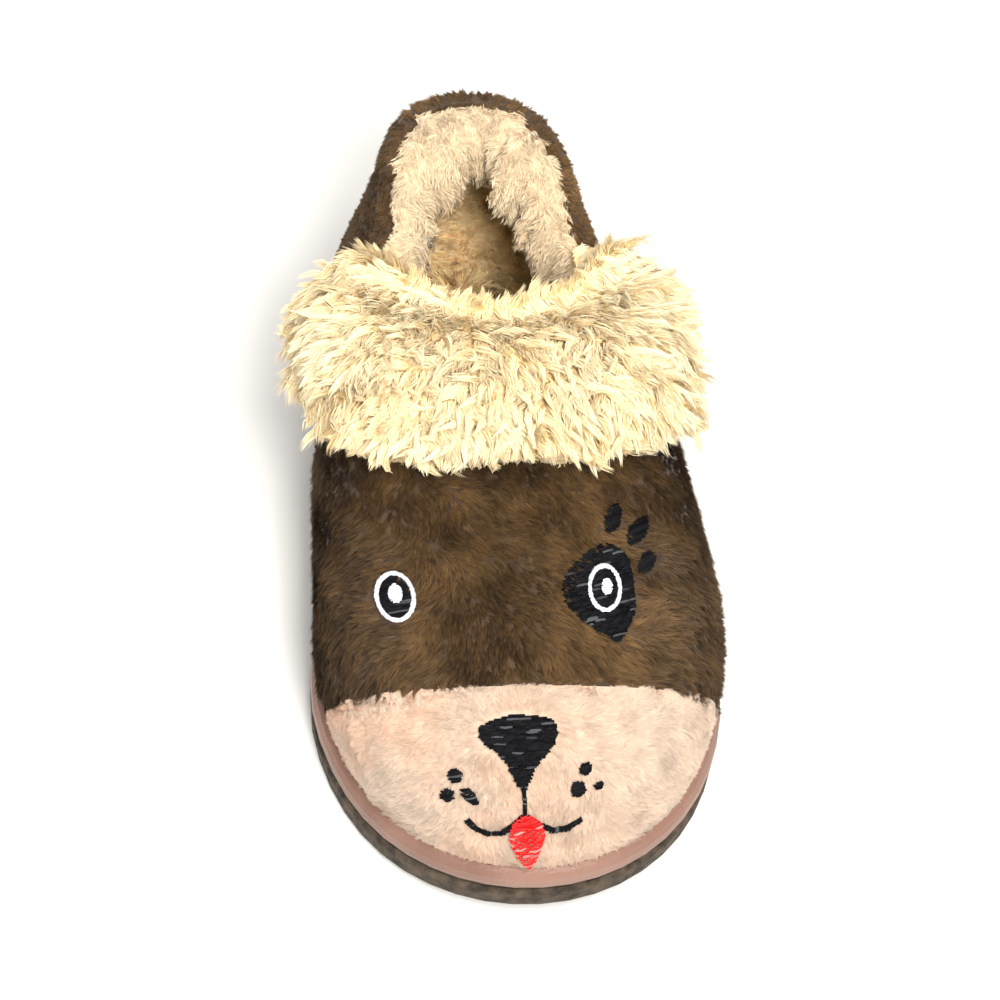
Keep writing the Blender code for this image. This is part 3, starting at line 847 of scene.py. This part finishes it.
def sew(colour, start, end, height=0.95, width=0.40):
    """One stitch on the toe's skin, from one place of the sheet to another."""
    steps = 4
    start, end = np.array(start, dtype=float), np.array(end, dtype=float)
    side = unit(np.array([start[1] - end[1], end[0] - start[0]])) * width / 2
    # About one stitch in eleven takes its thread's second colour: a painted glint on black and red thread,
    # a darker blue-grey on white.
    glints = thread_chance.random() < GLINT_CHANCE
    shade = thread_chance.uniform(0.4, 1) if glints else thread_chance.uniform(0, 0.1)
    height = height + thread_chance.uniform(-0.1, 0.14)
    rows = []
    for k in range(steps + 1):
        t = k / steps
        u, w = start + (end - start) * t
        dome = math.sin(math.pi * (0.12 + 0.76 * t))
        top, normal = on_toe(u, w, height * (0.55 + 0.45 * dome))
        left = Vector((side[0], 0, 0)) + sheet_up * side[1]
        left -= normal * left.dot(normal)
        left = left.normalized() * (width / 2)
        rows += [top - left - normal * THREAD_BULGE, top, top + left - normal * THREAD_BULGE]
    base = len(thread_places.setdefault(colour, []))
    thread_places[colour] += [tuple(row) for row in rows]
    thread_marks.setdefault(colour, []).extend([(0.5, shade, 0, 1)] * len(rows))
    faces = thread_quads.setdefault(colour, [])
    for k in range(steps):
        for j in range(2):
            a = base + 3 * k + j
            faces.append((a, a + 1, a + 4, a + 3))


print("one stitch ready")

# %% [markdown]
# ## Filled shapes and borders
# A filled shape is sewn in rows. Each row is cut into stitches a few millimetres long, and the
# next row is shifted, so that the needle holes never line up. A ring or a line is sewn across
# itself, in short stitches side by side, which is called satin stitch.


# %% Filled shapes and borders
def fill(colour, line, angle, pitch=0.30, stitch=3.2, height=0.95, ragged=0.12):
    """Fill a closed line with rows of stitches."""
    middle = line.mean(axis=0)
    along = np.array([math.cos(angle), math.sin(angle)])
    side = np.array([-along[1], along[0]])
    local = line - middle
    low, high = (local @ side).min(), (local @ side).max()
    for row in range(int((high - low) / pitch) + 1):
        level = low + (row + 0.5) * pitch
        cuts = []
        for p, q in zip(local, np.roll(local, -1, axis=0)):
            a, b = p @ side - level, q @ side - level
            if (a > 0) != (b > 0):
                cuts.append((p + (q - p) * a / (a - b)) @ along)
        cuts.sort()
        for begin, end in zip(cuts[::2], cuts[1::2]):
            begin -= thread_chance.uniform(0, ragged)
            end += thread_chance.uniform(0, ragged)
            marks = [begin]
            while stitch and marks[-1] + stitch * 1.4 < end:
                first = stitch * (0.4 + 0.35 * (row % 3)) if len(marks) == 1 else stitch
                marks.append(marks[-1] + first * thread_chance.uniform(0.9, 1.1))
            marks.append(end)
            for a, b in zip(marks[:-1], marks[1:]):
                p, q = middle + along * a + side * level, middle + along * b + side * level
                sew(colour, p, q, height)


def border(colour, line, half, pitch=0.27, height=1.05, closed=True):
    """Satin stitches across a line."""
    line = np.array(line, dtype=float)
    if closed:
        line = np.concatenate([line, line[:1]])
    steps = np.concatenate([[0], np.cumsum(np.linalg.norm(np.diff(line, axis=0), axis=1))])
    for at in np.arange(0, steps[-1], pitch):
        u, w = np.interp(at, steps, line[:, 0]), np.interp(at, steps, line[:, 1])
        u2, w2 = np.interp(at + 0.1, steps, line[:, 0]), np.interp(at + 0.1, steps, line[:, 1])
        along = unit(np.array([u2 - u, w2 - w]) + 1e-6)
        side = np.array([-along[1], along[0]]) + 0.25 * along
        reach = half * thread_chance.uniform(0.9, 1.15)
        sew(colour, (u, w) - side * reach, (u, w) + side * reach, height, 0.36)


print("stitches ready: filled shapes and borders")

# %% [markdown]
# ## Sewing the face
# Each eye is a filled pupil, then a white ring in satin stitch over its edge, then its glint.
# What is sewn later stands a little higher, so that the rows below don't show through.

# %% Sew the face
fill("black", left_pupil, 0.2, height=0.85)
border("white", oval(*LEFT_EYE, 3.05, 3.75, 0.05), 0.34, height=1.2)
fill("white", left_glint, 0.1, stitch=0, height=1.25)
fill("black", paw_pad, 0.15, stitch=2.0, height=1.0, ragged=0.35)
border("white", oval(*RIGHT_EYE, 2.7, 3.5, -0.08), 0.36, height=1.3)
fill("white", right_glint, 0.1, stitch=0, height=1.3)
for shape in paw_toes:
    fill("black", shape, 0.3, stitch=0, height=1.3, ragged=0.5)
fill("black", nose, 0.0, stitch=2.0, height=1.05, ragged=0.45)
for line, half in ((mouth_left, 0.5), (mouth_right, 0.5), (stem, 0.34)):
    border("black", line, half, closed=False, height=1.2)
fill("red", tongue, 0.25, stitch=1.8, height=1.5, pitch=0.32, ragged=0.25)
for shape in dots:
    fill("black", shape, 0.2, stitch=0, height=1.2, ragged=0.4)
print("stitches:", {colour: len(quads) // 8 for colour, quads in thread_quads.items()})

# %% [markdown]
# ## Three threads
# The threads are polyester, black, white and red. Each stitch has its own shade, and about one
# in eleven stands out: a painted grey glint among the black, a painted pink glint among the red,
# and a darker blue-grey among the white. All the stitches of a colour are one piece.


# %% Colour the threads
def thread_material(name, low, high, roughness):
    """Polyester thread, each stitch a little different; the second colour is a painted glint on black and
    red.
    """
    material, inputs = start_material(name)
    mark = add_node(material, "Attribute")
    mark.attribute_name = "pile"
    parts = add_node(material, "SeparateColor", Color=mark.outputs["Color"])
    colour = mix_colours(material, parts.outputs["Green"], (*low, 1), (*high, 1))
    give(material, inputs["Base Color"], colour)
    inputs["Roughness"].default_value = roughness
    inputs["Specular IOR Level"].default_value = 0.06
    raise_bump(material, inputs, spots(material, 2500, 2), 0.0001)
    return material


# The high colour of the black and of the red thread is a painted glint; on the white thread it is a darker
# blue-grey.
THREADS = {
    "black": thread_material("black_thread", (0.002, 0.002, 0.003), (0.085, 0.09, 0.10), 0.6),
    "white": thread_material("white_thread", (0.84, 0.86, 0.94), (0.55, 0.62, 0.80), 0.45),
    "red": thread_material("red_thread", (0.74, 0.006, 0.008), (0.95, 0.30, 0.28), 0.45),
}
for colour, material in THREADS.items():
    places = np.array(thread_places[colour])
    quads = np.array(thread_quads[colour])
    piece = lay_mesh("embroidery_" + colour, places, quads, np.zeros((0, 3), dtype=int),
                     np.array(thread_marks[colour]), material)
    for face in piece.data.polygons:
        face.use_smooth = True
    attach(piece, "root")
    print("embroidery_" + colour, len(quads) * 2, "triangles")

# %% [markdown]
# ## Fleece round the heel
# Inside the collar the fleece lining is rolled over its padding, about eight millimetres thick,
# and thicker on both sides of the heel, so that the opening ends in a point. The roll starts as
# a flat grid, which is wrapped into a tube that follows the collar's inner edge. The edge is
# found by looking outwards from the middle of the opening, level by level.

# %% The fleece roll
OPENING = Vector((-1.5, 43.0, 0))
ROLL_WIDTH, ROLL_DEPTH = 8.2, 16.0
ROLL_START, ROLL_END = math.radians(-62), math.radians(242)
ALONG_ROLL, ROUND_ROLL = 96, 16
CORNERS, CORNER_SPREAD, CORNER_GAIN = (0.98, 2.16), 0.42, 0.85


def collar_edge(angle):
    """Highest place on the collar's inner wall in a direction from the opening's middle."""
    way = Vector((math.cos(angle), math.sin(angle), 0))
    found = None
    for step in range(60):
        level = 38 + 0.5 * step
        hit = upper_skin.tree.ray_cast(OPENING + Vector((0, 0, level)), way, 60)[0]
        if hit is not None:
            found = hit
    return found, way


bpy.ops.object.select_all(action="DESELECT")
bpy.ops.mesh.primitive_grid_add(x_subdivisions=ALONG_ROLL, y_subdivisions=ROUND_ROLL, size=2)
roll = bpy.context.object
roll.name = "heel_fleece"
for vert in roll.data.vertices:
    along_share, round_share = (vert.co.x + 1) / 2, (vert.co.y + 1) / 2
    angle = ROLL_START + (ROLL_END - ROLL_START) * along_share
    edge, way = collar_edge(angle)
    turn_by = 2 * math.pi * round_share
    pinch = sum(math.exp(-(((angle - side) / CORNER_SPREAD) ** 2)) for side in CORNERS)
    folds = 0.10 * math.sin(8 * angle + 1.3) + 0.12 * math.sin(21 * angle + 2 * turn_by)
    wavy = 1 + CORNER_GAIN * pinch + folds
    taper = min(1, 0.35 + 6 * along_share, 0.35 + 6 * (1 - along_share))
    half_width, half_depth = ROLL_WIDTH / 2 * wavy * taper, ROLL_DEPTH / 2 * taper
    middle = edge - way * (half_width - 1.0) - Vector((0, 0, half_depth - 1.6))
    rise = Vector((0, 0, half_depth * math.sin(turn_by)))
    vert.co = (middle + way * half_width * math.cos(turn_by) + rise) * MM
bpy.ops.object.mode_set(mode="EDIT")
bpy.ops.mesh.select_all(action="SELECT")
bpy.ops.mesh.remove_doubles(threshold=1e-6)
bpy.ops.mesh.select_all(action="DESELECT")
bpy.ops.mesh.select_non_manifold()
bpy.ops.mesh.edge_face_add()
bpy.ops.mesh.select_all(action="SELECT")
bpy.ops.mesh.normals_make_consistent(inside=False)
bpy.ops.object.mode_set(mode="OBJECT")
bpy.ops.object.shade_smooth()
rolled_fleece = fleece_material("rolled_fleece", (0.74, 0.56, 0.34), (0.86, 0.73, 0.52), 0.0005)
roll.data.materials.append(rolled_fleece)
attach(roll, "root")
print("roll:", len(roll.data.polygons), "faces")

# %% [markdown]
# ## Wool on the roll, the lining and the footbed
# The roll's wool is combed flat across it. Deeper in, the fleece is golden. It stands up most on
# the footbed, but is kept short near the wall, so that no hair comes out through it.


# %% Grow the fleece
THROAT_LINE = -8


def all_over(middles, normals):
    """1 everywhere."""
    return np.ones(len(middles))


def inner_side(middles, normals):
    """1 on the upper's inside, else 0."""
    return (1 - outside(middles, normals)) * (normals[:, 2] > -0.6) * (middles[:, 2] > 14)


def inner_back(middles, normals):
    """1 on the upper's inside from the throat back, where the opening shows it."""
    return inner_side(middles, normals) * (middles[:, 1] > THROAT_LINE)


def top_back(middles, normals):
    """1 on a top side from the throat back."""
    return ((normals[:, 2] > 0.5) & (middles[:, 1] > THROAT_LINE)).astype(float)


roll_skin = Skin(roll)
roots, normals = roll_skin.scatter(4200, all_over, 51)
ways = np.array(OPENING) + np.array([0, 0, 30.0]) - roots
ways = comb(unit(ways), normals, 0.5 * drift(roots, 12, 52) + 0.5 * drift(roots, 5, 53))
piece = grow("heel_wool", roots, normals, ways, fleece_hair, hairs=9, spread=1.4, length=1.7,
             lean=1.33, width=0.30, steps=2, gather=0.35, wave=0.15, seed=54)
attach(piece, "root")
roots, normals = upper_skin.scatter(4600, inner_back, 55)
ways = comb(np.tile([0.2, 0.3, 1.0], (len(roots), 1)), normals, 0.9 * drift(roots, 10, 56))
piece = grow("lining_wool", roots, normals, ways, gold_hair, hairs=8, spread=1.2, length=2.6,
             lean=1.15, width=0.45, steps=1, gather=0.6, seed=57)
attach(piece, "root")
roots, normals = Skin(solids["insole"]).scatter(2600, top_back, 58)
room_left = np.array([upper_skin.tree.find_nearest(Vector(place))[3] for place in roots])
ways = comb(np.tile([0.1, -1.0, 0.1], (len(roots), 1)), normals, 1.5 * drift(roots, 9, 59))
piece = grow("footbed_wool", roots, normals, ways, gold_hair, hairs=9, spread=1.2, length=6.4,
             lean=0.7, width=0.42, steps=2, gather=0.8, wave=0.15, seed=60,
             scale=np.clip((room_left - 1.0) / 8, 0.1, 1))
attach(piece, "root")
dress("insole", fleece_material("footbed", (0.90, 0.68, 0.36), (1.0, 0.84, 0.54), 0.0006))

# %% [markdown]
# ## Padded band and outsole
# The band is thin leatherette over foam: a fine grain, a soft shine and shallow pulls where it
# was stretched over the edge. The outsole is dark rubber with a rough, mottled edge. Both
# solids have their true shape already, so all of this is colour and bump.

# %% Band and outsole
band, inputs = start_material("taupe_leatherette")
colour = mix_colours(band, spots(band, 45, 3), (0.190, 0.098, 0.072, 1), (0.290, 0.160, 0.118, 1))
give(band, inputs["Base Color"], colour)
inputs["Roughness"].default_value = 0.42
inputs["Coat Weight"].default_value = 0.15
inputs["Coat Roughness"].default_value = 0.35
pulls = raise_bump(band, inputs, spots(band, 60, 2, (1, 1, 0.15), 0.3, 0.7), 0.0010, 0.5)
raise_bump(band, inputs, spots(band, 1800, 2), 0.00012, 0.5, pulls)
dress("platform", band)

rubber, inputs = start_material("mottled_rubber")
colour = mix_colours(rubber, spots(rubber, 420, 5), (0.026, 0.018, 0.012, 1), (0.105, 0.075, 0.050, 1))
give(rubber, inputs["Base Color"], colour)
inputs["Roughness"].default_value = 0.85
raise_bump(rubber, inputs, spots(rubber, 900, 5), 0.0006)
dress("outsole", rubber)
print("sole: platform and outsole")
